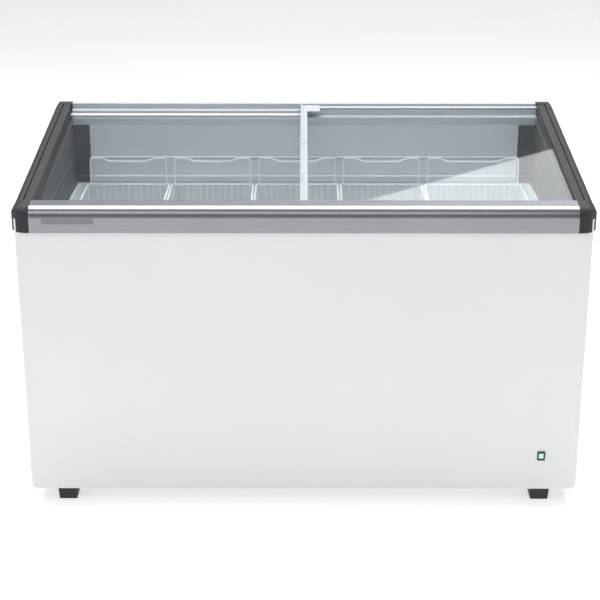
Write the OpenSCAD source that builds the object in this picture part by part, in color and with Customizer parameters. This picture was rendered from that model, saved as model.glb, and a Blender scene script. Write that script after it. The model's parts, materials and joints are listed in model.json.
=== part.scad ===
// Display chest freezer for ice cream: sloping rim, two sliding glass lids, five wire baskets.
// Millimetres, +Z up, +X to the right, -Y is the customer side.
// The origin is on the floor, under the middle of the cabinet.

/* [Cabinet] */
// width over the rim
rim_w = 1300; // [1080:10:1600]
// depth over the front and rear profiles
rim_d = 740; // [640:4:900]
// height of the front profile's top edge above the floor
front_h = 732; // [640:2:880]
// slope of the rim and lids, degrees
slope = 7.06; // [4:0.02:9]
// how far the rim stands out from the painted body at each side
rim_over_side = 8; // [4:1:16]
// how far the profiles stand out from the painted body at front and back
rim_over_end = 10; // [6:1:18]
// underside of the painted body above the floor
floor_gap = 40; // [30:1:60]
// radius of the body's upright edges
body_edge_r = 8; // [4:1:14]
// radius of the body's lower front corners
body_foot_r = 16; // [8:1:24]
// sheet thickness of the painted body
sheet = 1; // [0.8:0.1:1.6]

/* [Rim] */
// plan radius of the corner caps
corner_r = 40; // [30:1:46]
// width of a corner cap
cap_w = 44; // [40:1:60]
// skin thickness of profiles, rails and caps
skin = 4; // [3:0.5:6]
// height of the rim band at the front
rim_band = 58; // [50:1:70]
// radius along the front profile's upper edge
front_r = 24; // [16:1:30]
// radius along the rear profile's upper edge
rear_r = 22; // [14:1:26]
// flat on top of the front profile
front_top = 26; // [20:1:32]
// drop from the front profile's top to the side rail's crown
rail_drop = 10; // [6:0.5:14]
// radius along the side rail's shoulder
rail_r = 16; // [10:1:20]

/* [Lids] */
// glass thickness
glass_t = 4; // [3:0.5:5]
// height of a runner strip
runner_h = 7; // [6:0.5:9]
// width of a track step
track_w = 14; // [12:1:18]
// height between the two tracks
track_step = 13.5; // [12:0.5:18]
// overlap of the closed lids at the middle
lid_overlap = 16.5; // [12:0.5:30]
// width of the grip bar
grip_w = 17; // [14:1:24]
// air between a lid and its track
lid_air = 0.5; // [0.4:0.1:1]

/* [Interior] */
// thickness of the side walls above the liner
side_wall = 48; // [44:1:60]
// liner sheet thickness
liner_t = 1.5; // [1:0.1:2.5]
// plan radius of the liner's corners
liner_r = 25; // [15:1:40]
// top of the white liner
liner_top = 603; // [520:1:680]
// liner floor
liner_floor = 112; // [100:1:140]
// liner floor over the machine space
step_floor = 352; // [330:1:380]

/* [Baskets] */
// width of the basket over the machine space
basket_w5 = 257; // [200:1:280]
// air between neighbouring baskets
basket_gap = 2.5; // [2:0.1:12]
// air between the baskets and the liner's front and rear walls
basket_air = 8; // [4:1:20]
// rim wire diameter
rim_wire = 5; // [4:0.5:6]
// mesh wire diameter
mesh_wire = 3; // [2.5:0.5:4]
// gap between upright wires
wire_pitch = 16.5; // [14:0.5:40]
// carrying handle wire diameter
bail_wire = 4.5; // [4:0.5:6]
// height of a handle above the rim
bail_h = 72; // [50:1:84]
// lean of an upright handle towards the wall, degrees
bail_lean = 4; // [2:0.5:6]
// how far a handle that hangs inside its basket stands off the mesh, degrees
bail_hang = 9; // [8:0.5:14]

/* [Machine] */
// compressor body radius
comp_r = 62; // [50:1:75]
// fan radius
fan_r = 78; // [60:1:90]
// condenser tube diameter
pipe_d = 6; // [5:0.5:8]

/* [Hidden] */
half_w = rim_w / 2;
half_d = rim_d / 2;
body_x = half_w - rim_over_side;
body_y = half_d - rim_over_end;
body_f = -body_y;
z_top = front_h;
y_top = -half_d + front_r;
y_ledge = y_top + front_top;
tanf = tan(slope);
cosf = cos(slope);
sinf = sin(slope);
far = 2000;
tiny = 0.2;
rim_low = z_top - rim_band;
w_low = (rim_low - z_top + front_r * tanf) * cosf;
y_rear_r = half_d - rear_r;
rear_drop = 11;
y_crown = y_rear_r - track_w;
w_up = -24.5;
w_dn = w_up - track_step;
y_dn_f = y_ledge + track_w;
y_in_f = y_dn_f + 18;
y_dn_r = y_crown - track_w;
y_in_r = y_dn_r - 20;
x_stop = half_w - 41;
face_drop = 20;
wall_f = y_in_f - 2;
wall_r = y_in_r - 4;
wall_x = half_w - side_wall;
panel_top = zr(y_in_r, w_dn - face_drop);
shelf_z = liner_top + 68;
return_x = wall_x - 43;
liner_f = wall_f + 14;
liner_b = wall_r - 10;
liner_x = wall_x - 12;
comp_top = step_floor - 52;
base_z = floor_gap + 2;
cap_x = half_w - cap_w;
basket_b = liner_b - basket_air - 2;
basket_f = liner_f + basket_air - 2;
basket_d = basket_b - basket_f;
end_gap = 21;
basket_w = (2 * liner_x - 2 * end_gap + 1.8 - 4 * basket_gap - basket_w5) / 4;
basket_pitch = basket_w + basket_gap;
basket_rim_z = liner_top;
basket_low = liner_floor + 0.4;
basket_low5 = step_floor + 0.4;
basket_x1 = -liner_x + end_gap + basket_w / 2;
basket_x5 = basket_x1 + 4 * basket_pitch + (basket_w5 - basket_w) / 2;
step_x = basket_x5 - basket_w5 / 2 - 1.8;
mach_x = step_x + 16;
lamp_x = body_x - 87;
lamp_z = 126;
badge_x = -cap_x + 28;
foot_x = body_x - 82;
spout_x = body_x - 121;
spout_y = body_f + 30;
plug_x = 232 - body_x;
plug_y = -150;
comp_x = mach_x + 142;
comp_y = body_y - 190;
cond_x = mach_x + 34;
cond_y = body_f + 35;
fan_x = mach_x + 142;
fan_y = body_f + 160;
fan_z = 160;
dial_y = body_y - 120;
dial_z = 180;
grille_low = 74;
grille_top = 260;
grille_half = 150;
screw_y = 153;
basket_r = 5;
eye_air = 0.4;

// height of the plane w below the rim's top plane, at depth y
function zr(y, w) = z_top + (y - y_top) * tanf + w / cosf;
// distance along the slope of a point at depth y and level w
function sl(y, w) = (y - y_top + w * sinf) / cosf;
// centre of basket number n
function basket_mid(n) = n < 5 ? basket_x1 + (n - 1) * basket_pitch : basket_x5;
function basket_wide(n) = n < 5 ? basket_w : basket_w5;

// puts (x, along the slope, square to the slope) pieces into place
module sloped() {
  translate([0, y_top, z_top]) rotate([slope, 0, 0]) children();
}

// extrudes a (y, z) outline across, from x0 to x1
module across(x0, x1) {
  translate([x0, 0, 0]) rotate([90, 0, 90]) linear_extrude(height = x1 - x0) children();
}

// extrudes an (x, w) outline along the slope, over the whole depth
module along_slope() {
  sloped() translate([0, far / 2, 0]) rotate([90, 0, 0]) linear_extrude(height = far) children();
}

// everything between two depths
module between_y(y0, y1) {
  translate([-far / 2, y0, -far / 2]) cube([far, y1 - y0, far]);
}

// everything below the plane w
module below_w(w) {
  sloped() translate([-far / 2, -far / 2, w - far]) cube([far, far, far]);
}

module round_plan(x, y0, y1, r) {
  translate([-x + r, y0 + r]) circle(r = r, $fn = 64);
  translate([x - r, y0 + r]) circle(r = r, $fn = 64);
  translate([-x + r, y1 - r]) circle(r = r, $fn = 64);
  translate([x - r, y1 - r]) circle(r = r, $fn = 64);
  translate([-x + r, y0]) square([2 * (x - r), y1 - y0]);
  translate([-x, y0 + r]) square([2 * x, y1 - y0 - 2 * r]);
}

// a quarter of a disc, with a little more on its straight sides so that it joins what it rounds off
module quarter(cx, cy, r, sx, sy) {
  intersection() {
    translate([cx, cy]) circle(r = r, $fn = 96);
    translate([sx > 0 ? cx - 1 : cx - r - 1, sy > 0 ? cy - 1 : cy - r - 1]) square([r + 2, r + 2]);
  }
}

// ---------- painted body ----------
module outer_casing() color([0.88, 0.88, 0.88]) difference() {
  intersection() {
    translate([0, 0, floor_gap]) linear_extrude(height = 900)
      round_plan(body_x, -body_y, body_y, body_edge_r);
    below_w(-27);
    translate([0, body_y, floor_gap]) rotate([90, 0, 0]) linear_extrude(height = 2 * body_y)
      union() {
        translate([-body_x + body_foot_r, body_foot_r]) circle(r = body_foot_r, $fn = 64);
        translate([body_x - body_foot_r, body_foot_r]) circle(r = body_foot_r, $fn = 64);
        translate([-body_x + body_foot_r, 0]) square([2 * (body_x - body_foot_r), far / 2]);
        translate([-body_x, body_foot_r]) square([2 * body_x, far / 2]);
      }
  }
  translate([0, 0, floor_gap - 1]) linear_extrude(height = 900)
    round_plan(body_x - sheet, -body_y + sheet, body_y - sheet, body_edge_r - sheet);
  translate([body_x - 5, -grille_half, grille_low]) cube([10, 2 * grille_half, grille_top - grille_low]);
  translate([mach_x + 190, body_y - 5, 90]) cube([60, 10, 60]);
  translate([lamp_x, body_f - 2, lamp_z]) cube([15, 8, 19], center = true);
  for (y = [-screw_y, screw_y]) for (z = [grille_low + 2, grille_top - 2]) translate([body_x - 5, y, z])
    rotate([0, 90, 0]) cylinder(d = 4.4, h = 10, $fn = 32);
  translate([body_x - 5, dial_y, dial_z]) rotate([0, 90, 0]) cylinder(d = 26, h = 10, $fn = 64);
}

module base_plate() color([0.55, 0.56, 0.58]) difference() {
  translate([0, 0, base_z]) linear_extrude(height = 2)
    round_plan(body_x - body_foot_r, -body_y + 2, body_y - 2, body_edge_r);
  translate([plug_x, plug_y, base_z - 1]) cylinder(d = 14.4, h = 4, $fn = 48);
  for (y = [-160, -60, 60, 160]) translate([mach_x + 60, y, base_z - 1])
    cylinder(d = 34, h = 4, $fn = 48);
  translate([spout_x, spout_y, base_z - 1]) cylinder(d = 8.4, h = 4, $fn = 48);
}

module liner_space(g) {
  difference() {
    translate([0, 0, liner_floor - g]) linear_extrude(height = far)
      round_plan(liner_x + g, liner_f - g, liner_b + g, liner_r + g);
    translate([step_x + g, -far / 2, -far / 2]) cube([far, far, far / 2 + step_floor - g]);
  }
}

module foam_insulation() color([0.93, 0.87, 0.68]) difference() {
  intersection() {
    translate([0, 0, base_z + 2 + tiny]) linear_extrude(height = far)
      round_plan(body_x - sheet - tiny, -body_y + sheet + tiny, body_y - sheet - tiny, body_edge_r);
    below_w(-64);
    translate([-body_x + 4, -far / 2, -far / 2]) cube([2 * body_x - 8, far, far]);
  }
  liner_space(liner_t + 10);
  translate([-wall_x - 4, wall_f - 4, liner_top - 3]) cube([2 * wall_x + 8, wall_r - wall_f + 8, far]);
  translate([mach_x, -far / 2, -far / 2]) cube([far, far, far / 2 + comp_top]);
  translate([plug_x, plug_y, 0]) cylinder(d = 16.4, h = liner_floor, $fn = 48);
}

module inner_liner() color([0.93, 0.94, 0.95]) difference() {
  union() {
    intersection() {
      liner_space(liner_t);
      translate([-far / 2, -far / 2, 0]) cube([far, far, liner_top - 3]);
    }
    translate([0, 0, liner_top - 3]) linear_extrude(height = 1.5)
      round_plan(wall_x + 3, wall_f - 3, wall_r + 3, liner_r);
  }
  liner_space(0);
  translate([plug_x, plug_y, liner_floor - 5]) cylinder(d = 13, h = 10, $fn = 48);
}

module coil_ring(z) {
  r = liner_r + liner_t + 5;
  x = liner_x + liner_t + 5;
  y0 = liner_f - liner_t - 5;
  y1 = liner_b + liner_t + 5;
  translate([0, 0, z]) {
    for (q = [[x - r, y1 - r, 0], [-x + r, y1 - r, 90], [-x + r, y0 + r, 180], [x - r, y0 + r, 270]])
      translate([q[0], q[1], 0]) rotate([0, 0, q[2]]) rotate_extrude(angle = 90, $fn = 64)
        translate([r, 0]) circle(d = 8, $fn = 32);
    for (y = [y0, y1]) translate([-x + r, y, 0]) rotate([0, 90, 0])
      cylinder(d = 8, h = 2 * (x - r), $fn = 32);
    for (s = [-1, 1]) translate([s * x, y1 - r, 0]) rotate([90, 0, 0])
      cylinder(d = 8, h = y1 - y0 - 2 * r, $fn = 32);
  }
}

module evaporator_coil() color([0.78, 0.48, 0.3]) {
  for (k = [0 : 4]) coil_ring(380 + 50 * k);
  for (k = [0 : 3]) translate([k % 2 == 0 ? 60 : -60, liner_b + liner_t + 5, 380 + 50 * k])
    cylinder(d = 7, h = 50, $fn = 32);
}

// ---------- rim ----------
// the front profile's closed outline, g inside its outer face
module front_fill(g) {
  low = g > 0 ? rim_low - 60 : rim_low;
  in_low = g > 0 ? low : zr(y_in_f, w_dn - face_drop);
  polygon([
    [-half_d + g, low], [-half_d + g, z_top - front_r], [y_top, z_top - front_r], [y_top, z_top - g],
    [y_ledge - g, zr(y_ledge - g, -g)], [y_ledge - g, zr(y_ledge - g, w_up - g)],
    [y_dn_f - g, zr(y_dn_f - g, w_up - g)], [y_dn_f - g, zr(y_dn_f - g, w_dn - g)],
    [y_in_f - g, zr(y_in_f - g, w_dn - g)], [y_in_f - g, in_low]
  ]);
  quarter(y_top, z_top - front_r, front_r - g, -1, 1);
}

module front_profile() color([0.72, 0.73, 0.75]) difference() {
  union() {
    difference() {
      across(-cap_x, cap_x) front_fill(0);
      across(-cap_x - 1, cap_x + 1) front_fill(skin);
    }
    translate([-cap_x, -half_d + 1, rim_low]) cube([2 * cap_x, rim_over_end - 1.1, skin]);
  }
  translate([badge_x, -half_d - 1, z_top - 37.5]) cube([114, 1.8, 13]);
}

// the rear profile's closed outline, g inside its outer face
module rear_fill(g) {
  z_c = zr(y_rear_r, -rear_drop);
  low = zr(half_d, w_low) - (g > 0 ? 60 : 0);
  polygon([
    [half_d - g, low], [half_d - g, z_c - rear_r], [y_rear_r, z_c - rear_r], [y_rear_r, z_c - g],
    [y_crown + g, zr(y_crown + g, -rear_drop - g)], [y_crown + g, zr(y_crown + g, w_up - g)],
    [y_dn_r + g, zr(y_dn_r + g, w_up - g)], [y_dn_r + g, zr(y_dn_r + g, w_dn - g)],
    [y_in_r + g, zr(y_in_r + g, w_dn - g)], [y_in_r + g, g > 0 ? low : panel_top]
  ]);
  quarter(y_rear_r, z_c - rear_r, rear_r - g, 1, 1);
}

module rear_profile() color([0.72, 0.73, 0.75]) {
  difference() {
    across(-cap_x, cap_x) rear_fill(0);
    across(-cap_x - 1, cap_x + 1) rear_fill(skin);
  }
  translate([-cap_x, body_y + 0.1, zr(half_d, w_low)]) cube([2 * cap_x, rim_over_end - 1.1, skin]);
}

// the side rail's closed outline with its shallow groove
module rail_fill() {
  c = -rail_drop;
  polygon([
    [half_w, w_low], [half_w, c - rail_r], [half_w - rail_r, c - rail_r], [half_w - rail_r, c],
    [half_w - 20, c], [half_w - 20, c - 5], [half_w - 23, c - 5],
    [half_w - 23, c - 2], [x_stop, c - 2], [x_stop, -46]
  ]);
  quarter(half_w - rail_r, c - rail_r, rail_r, 1, 1);
}

// the hollow under the rail's skin, which steps down below the groove
module rail_hollow() {
  c = -rail_drop;
  low = w_low - 60;
  polygon([
    [half_w - skin, low], [half_w - skin, c - rail_r], [half_w - rail_r, c - rail_r],
    [half_w - rail_r, c - skin], [half_w - rail_r - 1, c - skin], [half_w - rail_r - 1, c - 5 - skin],
    [half_w - 29, c - 5 - skin], [half_w - 29, c - 2 - skin],
    [x_stop + skin, c - 2 - skin], [x_stop + skin, low]
  ]);
  quarter(half_w - rail_r, c - rail_r, rail_r - skin, 1, 1);
}

module side_rail_right() color([0.3, 0.3, 0.31]) {
  intersection() {
    difference() {
      along_slope() rail_fill();
      along_slope() rail_hollow();
    }
    between_y(y_ledge + 4, y_crown - 2);
  }
  intersection() {
    along_slope() translate([body_x + 0.1, w_low]) square([rim_over_side - 1.1, skin]);
    between_y(y_ledge + 4, y_crown - 2);
  }
}

module side_rail_left() mirror([1, 0, 0]) side_rail_right();

// a solid with the front or rear outline, the rail's shoulder and the rounded plan corner
module cap_block(g, rear) {
  z_c = rear ? zr(y_rear_r, -rear_drop) : z_top;
  r_e = rear ? rear_r : front_r;
  sh = rear ? rail_r : rail_r + rail_drop;
  top = rear ? -rear_drop : 0;
  intersection() {
    across(cap_x - 1, half_w - g) union() {
      if (rear) {
        polygon([
          [y_crown - 2, rim_low - 9], [half_d - g, rim_low - 9], [half_d - g, z_c - r_e],
          [y_rear_r, z_c - r_e], [y_rear_r, z_c - g], [y_crown - 2, zr(y_crown - 2, top - g)]
        ]);
        quarter(y_rear_r, z_c - r_e, r_e - g, 1, 1);
      } else {
        polygon([
          [-half_d + g, rim_low - 9], [y_ledge + 4, rim_low - 9], [y_ledge + 4, zr(y_ledge + 4, -g)],
          [y_top, z_c - g], [y_top, z_c - r_e], [-half_d + g, z_c - r_e]
        ]);
        quarter(y_top, z_c - r_e, r_e - g, -1, 1);
      }
    }
    along_slope() union() {
      polygon([
        [cap_x, -200], [half_w - g, -200], [half_w - g, top - sh], [half_w - sh, top - sh],
        [half_w - sh, top + 9], [cap_x, top + 9]
      ]);
      intersection() {
        translate([half_w - sh, top - sh]) circle(r = sh - g, $fn = 96);
        translate([half_w - sh, top - sh]) square([sh + 1, sh + 1]);
      }
    }
    linear_extrude(height = far)
      round_plan(half_w - g, -half_d + g, half_d - g, corner_r - g);
  }
}

// the lid space that the caps leave free at the side
module cap_free(rear) {
  across(cap_x - 5, x_stop + 0.5) polygon(rear ? [
    [y_crown - 40, 0], [y_in_r + skin + 0.2, 0], [y_in_r + skin + 0.2, zr(y_in_r + skin, w_dn - skin)],
    [y_dn_r + skin, zr(y_dn_r + skin, w_dn - skin)], [y_dn_r + skin, zr(y_dn_r + skin, w_up - skin)],
    [y_crown, zr(y_crown, w_up - skin)], [y_crown, zr(y_crown, 60)], [y_crown - 40, zr(y_crown, 60)]
  ] : [
    [y_ledge + 40, 0], [y_in_f - skin - 0.2, 0], [y_in_f - skin - 0.2, zr(y_in_f - skin, w_dn - skin)],
    [y_dn_f - skin, zr(y_dn_f - skin, w_dn - skin)], [y_dn_f - skin, zr(y_dn_f - skin, w_up - skin)],
    [y_ledge, zr(y_ledge, w_up - skin)], [y_ledge, zr(y_ledge, 60)], [y_ledge + 40, zr(y_ledge, 60)]
  ]);
}

module cap(rear) color([0.29, 0.29, 0.3]) {
  low = rear ? zr(half_d, w_low) : rim_low;
  difference() {
    intersection() {
      cap_block(0, rear);
      translate([0, -far / 2, low]) cube([far, far, far]);
    }
    difference() {
      cap_block(skin, rear);
      if (rear) between_y(-far / 2, y_crown + skin - 2);
      else between_y(y_ledge - skin + 4, far / 2);
    }
    intersection() {
      translate([0, 0, -50]) linear_extrude(height = far / 2)
        round_plan(body_x + 0.1, -body_y - 0.1, body_y + 0.1, body_edge_r);
      below_w(-26);
    }
    cap_free(rear);
  }
}

module cap_front_right() cap(false);
module cap_front_left() mirror([1, 0, 0]) cap(false);
module cap_rear_right() cap(true);
module cap_rear_left() mirror([1, 0, 0]) cap(true);

// section of the collar above the liner: d is outwards from the wall plane
module collar_section(top) {
  polygon([
    [0, top], [0, shelf_z], [-4, shelf_z - 2], [-4, shelf_z - 5], [-1, shelf_z - 5],
    [-1, shelf_z - 8], [-4, shelf_z - 8], [-4, liner_top + 18], [-8, liner_top + 15],
    [-8, liner_top], [-5, liner_top], [-5, liner_top + 13.5], [-1, liner_top + 16.5],
    [-1, shelf_z - 11], [2, shelf_z - 11], [2, shelf_z - 2], [3, shelf_z - 1], [3, top]
  ]);
}

module inner_cover_right() color([0.3, 0.32, 0.33]) difference() {
  union() {
    intersection() {
      translate([wall_x, wall_r + 3, 0]) rotate([90, 0, 0])
        linear_extrude(height = wall_r - wall_f + 6) collar_section(900);
      below_w(-50.5);
    }
    intersection() {
      sloped() translate([wall_x, sl(wall_f - 3, -49), -50.5])
        cube([x_stop + skin - wall_x, wall_r - wall_f + 20, 3]);
      between_y(wall_f - 3, wall_r + 3);
    }
    translate([return_x, wall_r, 0]) rotate([90, 0, 90])
      linear_extrude(height = wall_x - return_x + 3) collar_section(panel_top - tiny);
    translate([wall_x + 3, wall_f, 0]) rotate([90, 0, -90])
      linear_extrude(height = 11) collar_section(zr(wall_f, w_dn - face_drop - 1));
  }
  across(wall_x - 12, cap_x + tiny) polygon([
    [wall_f - 20, zr(y_in_f, w_dn - face_drop) - tiny],
    [y_in_f + tiny, zr(y_in_f, w_dn - face_drop) - tiny],
    [y_in_f + tiny, 900], [wall_f - 20, 900]
  ]);
}

module inner_cover_left() mirror([1, 0, 0]) inner_cover_right();

module rear_inner_panel() color([0.72, 0.74, 0.75])
  translate([-return_x + 0.2, wall_r, 0]) rotate([90, 0, 90])
    linear_extrude(height = 2 * return_x - 0.4) collar_section(panel_top - tiny);

module front_inner_panel() color([0.72, 0.74, 0.75])
  translate([wall_x - 8.2, wall_f, 0]) rotate([90, 0, -90])
    linear_extrude(height = 2 * wall_x - 16.4) collar_section(zr(wall_f, w_dn - face_drop - 1));

module badge_plate() color([0.5, 0.51, 0.53])
  translate([badge_x + tiny, -half_d, z_top - 37.3]) cube([113.6, 0.8, 12.6]);

// ---------- body fittings ----------
module lamp_bezel() color([0.08, 0.08, 0.09]) difference() {
  union() {
    translate([lamp_x, body_f - 1.2, lamp_z]) cube([18, 2.4, 22], center = true);
    translate([lamp_x, body_f + 6, lamp_z]) cube([14.6, 12, 18.6], center = true);
  }
  translate([lamp_x, body_f + 3, lamp_z]) cube([11, 30, 13], center = true);
}

module lamp_lens() color([0.55, 0.85, 0.7])
  translate([lamp_x, body_f + 4.2, lamp_z]) cube([10.8, 12, 12.8], center = true);

module foot_block() {
  translate([0, 22, 0]) rotate([90, 0, 0]) linear_extrude(height = 44)
    polygon([[-20.5, 0], [20.5, 0], [24, floor_gap - 3], [-24, floor_gap - 3]]);
  translate([-30, -27, floor_gap - 3]) cube([60, 54, base_z - floor_gap + 3]);
}

module feet() color([0.25, 0.25, 0.26])
  for (x = [-foot_x, foot_x]) for (y = [body_f + 47, body_y - 47]) translate([x, y, 0]) foot_block();

module drain_spout() color([0.2, 0.2, 0.21]) difference() {
  union() {
    translate([spout_x, spout_y, 34]) cylinder(d = 12, h = base_z - 34, $fn = 48);
    translate([spout_x, spout_y, base_z]) cylinder(d = 8, h = 14, $fn = 48);
  }
  translate([spout_x, spout_y, 40]) cylinder(d = 5, h = 40, $fn = 48);
}

module drain_plug() color([0.85, 0.86, 0.87]) {
  translate([plug_x, plug_y, liner_floor]) cylinder(d = 24, h = 2.5, $fn = 64);
  translate([plug_x, plug_y, base_z - 2]) cylinder(d = 12.6, h = liner_floor - base_z + 2, $fn = 48);
}

// ---------- machine space ----------
module compressor() color([0.12, 0.12, 0.13]) {
  translate([comp_x, comp_y, base_z + 26]) {
    cylinder(r = comp_r, h = 60, $fn = 96);
    translate([0, 0, 60]) intersection() {
      translate([0, 0, -36]) sphere(r = 72, $fn = 96);
      cylinder(r = comp_r, h = 80, $fn = 96);
    }
    translate([0, 0, -8]) cylinder(r = comp_r - 8, h = 8.5, $fn = 96);
    for (a = [45, 135, 225, 315]) rotate([0, 0, a])
      difference() {
        translate([comp_r - 20, -14, -10]) cube([56, 28, 3]);
        translate([comp_r + 22, 0, -12]) cylinder(d = 16, h = 8, $fn = 48);
      }
    for (x = [-30, 30]) translate([x, -comp_r + 14, 30]) rotate([90, 0, 0])
      cylinder(d = 9, h = 22, $fn = 32);
  }
}

module compressor_grommets() color([0.1, 0.1, 0.1])
  for (a = [45, 135, 225, 315]) translate([comp_x, comp_y, base_z + 2]) rotate([0, 0, a])
    translate([comp_r + 22, 0, 0]) difference() {
      union() {
        cylinder(d = 26, h = 13.8, $fn = 48);
        cylinder(d = 15.6, h = 22, $fn = 48);
        translate([0, 0, 17.2]) cylinder(d = 22, h = 5, $fn = 48);
      }
      translate([0, 0, -1]) cylinder(d = 7, h = 30, $fn = 48);
    }

module terminal_cover() color([0.15, 0.15, 0.16])
  translate([comp_x + comp_r + 0.2, comp_y - 30, base_z + 36]) cube([26, 60, 48]);

module condenser() color([0.45, 0.46, 0.48]) {
  for (k = [0 : 24]) translate([cond_x + 12 + 8 * k, cond_y + 3, 72]) cube([0.8, 76, 190]);
  for (z = [90 : 30 : 240]) for (y = [20, 60]) translate([cond_x - 4, cond_y + y, z]) rotate([0, 90, 0])
    cylinder(d = pipe_d + 1, h = 224, $fn = 32);
  for (x = [0, 212]) translate([cond_x + x, cond_y, base_z + 2 + tiny]) cube([4, 82, 226]);
  translate([cond_x, cond_y, base_z + 2 + tiny]) cube([216, 82, 3]);
}

module fan_bracket() color([0.2, 0.2, 0.21]) difference() {
  translate([fan_x - 100, fan_y - 26, base_z + 2 + tiny]) cube([200, 30, 220]);
  translate([fan_x, fan_y + 20, fan_z]) rotate([90, 0, 0]) cylinder(r = fan_r + 5, h = 80, $fn = 96);
  translate([fan_x - 96, fan_y - 22, base_z]) cube([192, 30, 216]);
}

module fan_motor() color([0.35, 0.35, 0.36]) {
  translate([fan_x, fan_y + 50, fan_z]) rotate([90, 0, 0]) cylinder(r = 24, h = 34, $fn = 64);
  translate([fan_x, fan_y + 16, fan_z]) rotate([90, 0, 0]) cylinder(r = 4, h = 30, $fn = 48);
  for (a = [0, 120, 240]) translate([fan_x, fan_y + 28, fan_z]) rotate([0, a, 0])
    translate([22, 0, -3]) cube([fan_r - 6, 4, 6]);
  for (a = [0, 120, 240]) translate([fan_x, fan_y + 4.4, fan_z]) rotate([0, a, 0])
    translate([fan_r + 8, 0, -3]) cube([8, 27, 6]);
}

module fan_blades() color([0.6, 0.62, 0.63]) difference() {
  union() {
    translate([fan_x, fan_y + 12, fan_z]) rotate([90, 0, 0]) cylinder(r = 17, h = 24, $fn = 64);
    for (a = [0, 72, 144, 216, 288]) translate([fan_x, fan_y, fan_z]) rotate([0, a, 0])
      translate([14, 0, 0]) rotate([28, 0, 0]) translate([0, -1.2, -18]) cube([fan_r - 16, 2.4, 36]);
  }
  translate([fan_x, fan_y + 20, fan_z]) rotate([90, 0, 0]) cylinder(r = 4.06, h = 60, $fn = 48);
}

module filter_drier() color([0.72, 0.45, 0.28]) {
  translate([mach_x + 32, comp_y - 110, 100]) rotate([90, 0, 0]) cylinder(d = 22, h = 90, $fn = 48);
  translate([mach_x + 32, comp_y - 92, 100]) rotate([90, 0, 0]) cylinder(d = 8, h = 128, $fn = 48);
}

module refrigerant_pipes() color([0.76, 0.47, 0.29]) {
  y_c = comp_y - comp_r - 8;
  z_c = base_z + 56;
  y_t = cond_y + 216;
  x_l = comp_x - 30;
  x_s = comp_x + 30;
  x_d = mach_x + 22;
  translate([x_l, y_c, z_c]) rotate([90, 0, 0]) cylinder(d = pipe_d, h = y_c - y_t, $fn = 32);
  translate([x_l, y_t, z_c]) sphere(d = pipe_d + 1, $fn = 32);
  translate([x_l, y_t, z_c]) rotate([0, -90, 0]) cylinder(d = pipe_d, h = 90, $fn = 32);
  translate([x_d, y_t, z_c]) sphere(d = pipe_d + 1, $fn = 32);
  translate([x_d, y_t, z_c]) rotate([90, 0, 0]) cylinder(d = pipe_d, h = 196, $fn = 32);
  translate([x_s, y_c, z_c]) rotate([90, 0, 0]) cylinder(d = pipe_d + 1, h = 49, $fn = 32);
  translate([x_s, y_c - 49, z_c]) sphere(d = pipe_d + 2, $fn = 32);
  translate([x_s, y_c - 49, z_c]) cylinder(d = pipe_d + 1, h = comp_top - z_c - 1, $fn = 32);
}

module thermostat_body() color([0.16, 0.16, 0.17]) {
  translate([body_x - 47, dial_y - 30, dial_z - 30]) cube([36, 60, 60]);
  translate([body_x - 11, dial_y, dial_z]) rotate([0, 90, 0]) cylinder(d = 8, h = 8, $fn = 48);
}

module thermostat_knob() color([0.1, 0.1, 0.11]) difference() {
  union() {
    translate([body_x - 10, dial_y, dial_z]) rotate([0, 90, 0]) cylinder(d = 30, h = 4, $fn = 64);
    translate([body_x - 6, dial_y, dial_z]) rotate([0, 90, 0]) cylinder(d = 23, h = 6.4, $fn = 64);
    translate([body_x - 6, dial_y - 2.5, dial_z]) cube([7.4, 5, 11]);
  }
  translate([body_x - 11, dial_y, dial_z]) rotate([0, 90, 0]) cylinder(d = 8.1, h = 8.6, $fn = 48);
}

module side_grille() color([0.2, 0.2, 0.21]) difference() {
  union() {
    translate([body_x - sheet - 1.5, 0.5 - grille_half, grille_low + 0.5])
      cube([sheet + 1.5, 2 * grille_half - 1, grille_top - grille_low - 1]);
    translate([body_x - sheet - 3, -grille_half - 15, grille_low - 12])
      cube([3 - tiny, 2 * grille_half + 30, grille_top - grille_low + 24]);
    translate([body_x, -grille_half - 10, grille_low - 8])
      cube([2.5, 2 * grille_half + 20, grille_top - grille_low + 16]);
  }
  for (k = [0 : 10]) translate([body_x - 9, 15 - grille_half, grille_low + 10 + 16 * k])
    cube([20, 2 * grille_half - 30, 8]);
  for (y = [-screw_y, screw_y]) for (z = [grille_low + 2, grille_top - 2]) translate([body_x - 9, y, z])
    rotate([0, 90, 0]) cylinder(d = 4, h = 20, $fn = 32);
}

module grille_screws() color([0.7, 0.7, 0.72])
  for (y = [-screw_y, screw_y]) for (z = [grille_low + 2, grille_top - 2])
  translate([body_x - 8, y, z]) rotate([0, 90, 0]) {
    cylinder(d = 3.8, h = 10.5, $fn = 32);
    difference() {
      translate([0, 0, 10.5]) cylinder(d = 7, h = 2, $fn = 48);
      translate([-2.5, -0.5, 11.6]) cube([5, 1, 2]);
      translate([-0.5, -2.5, 11.6]) cube([1, 5, 2]);
    }
  }

module cable_gland() color([0.1, 0.1, 0.11]) difference() {
  union() {
    translate([mach_x + 185, body_y, 85]) cube([70, 3, 70]);
    translate([mach_x + 220, body_y + 8, 120]) rotate([90, 0, 0]) cylinder(d = 26, h = 8, $fn = 64);
    translate([mach_x + 190.3, body_y - 5, 90.3]) cube([59.4, 5, 59.4]);
  }
  translate([mach_x + 220, body_y + 20, 120]) rotate([90, 0, 0]) cylinder(d = 9, h = 40, $fn = 48);
}

// ---------- lids ----------
// a glass pane between two sides and two depths, with its lower face at level w
module pane(x0, x1, y0, y1, w) {
  sloped() translate([x0, sl(y0, w), w]) cube([x1 - x0, sl(y1, w) - sl(y0, w), glass_t]);
}

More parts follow.
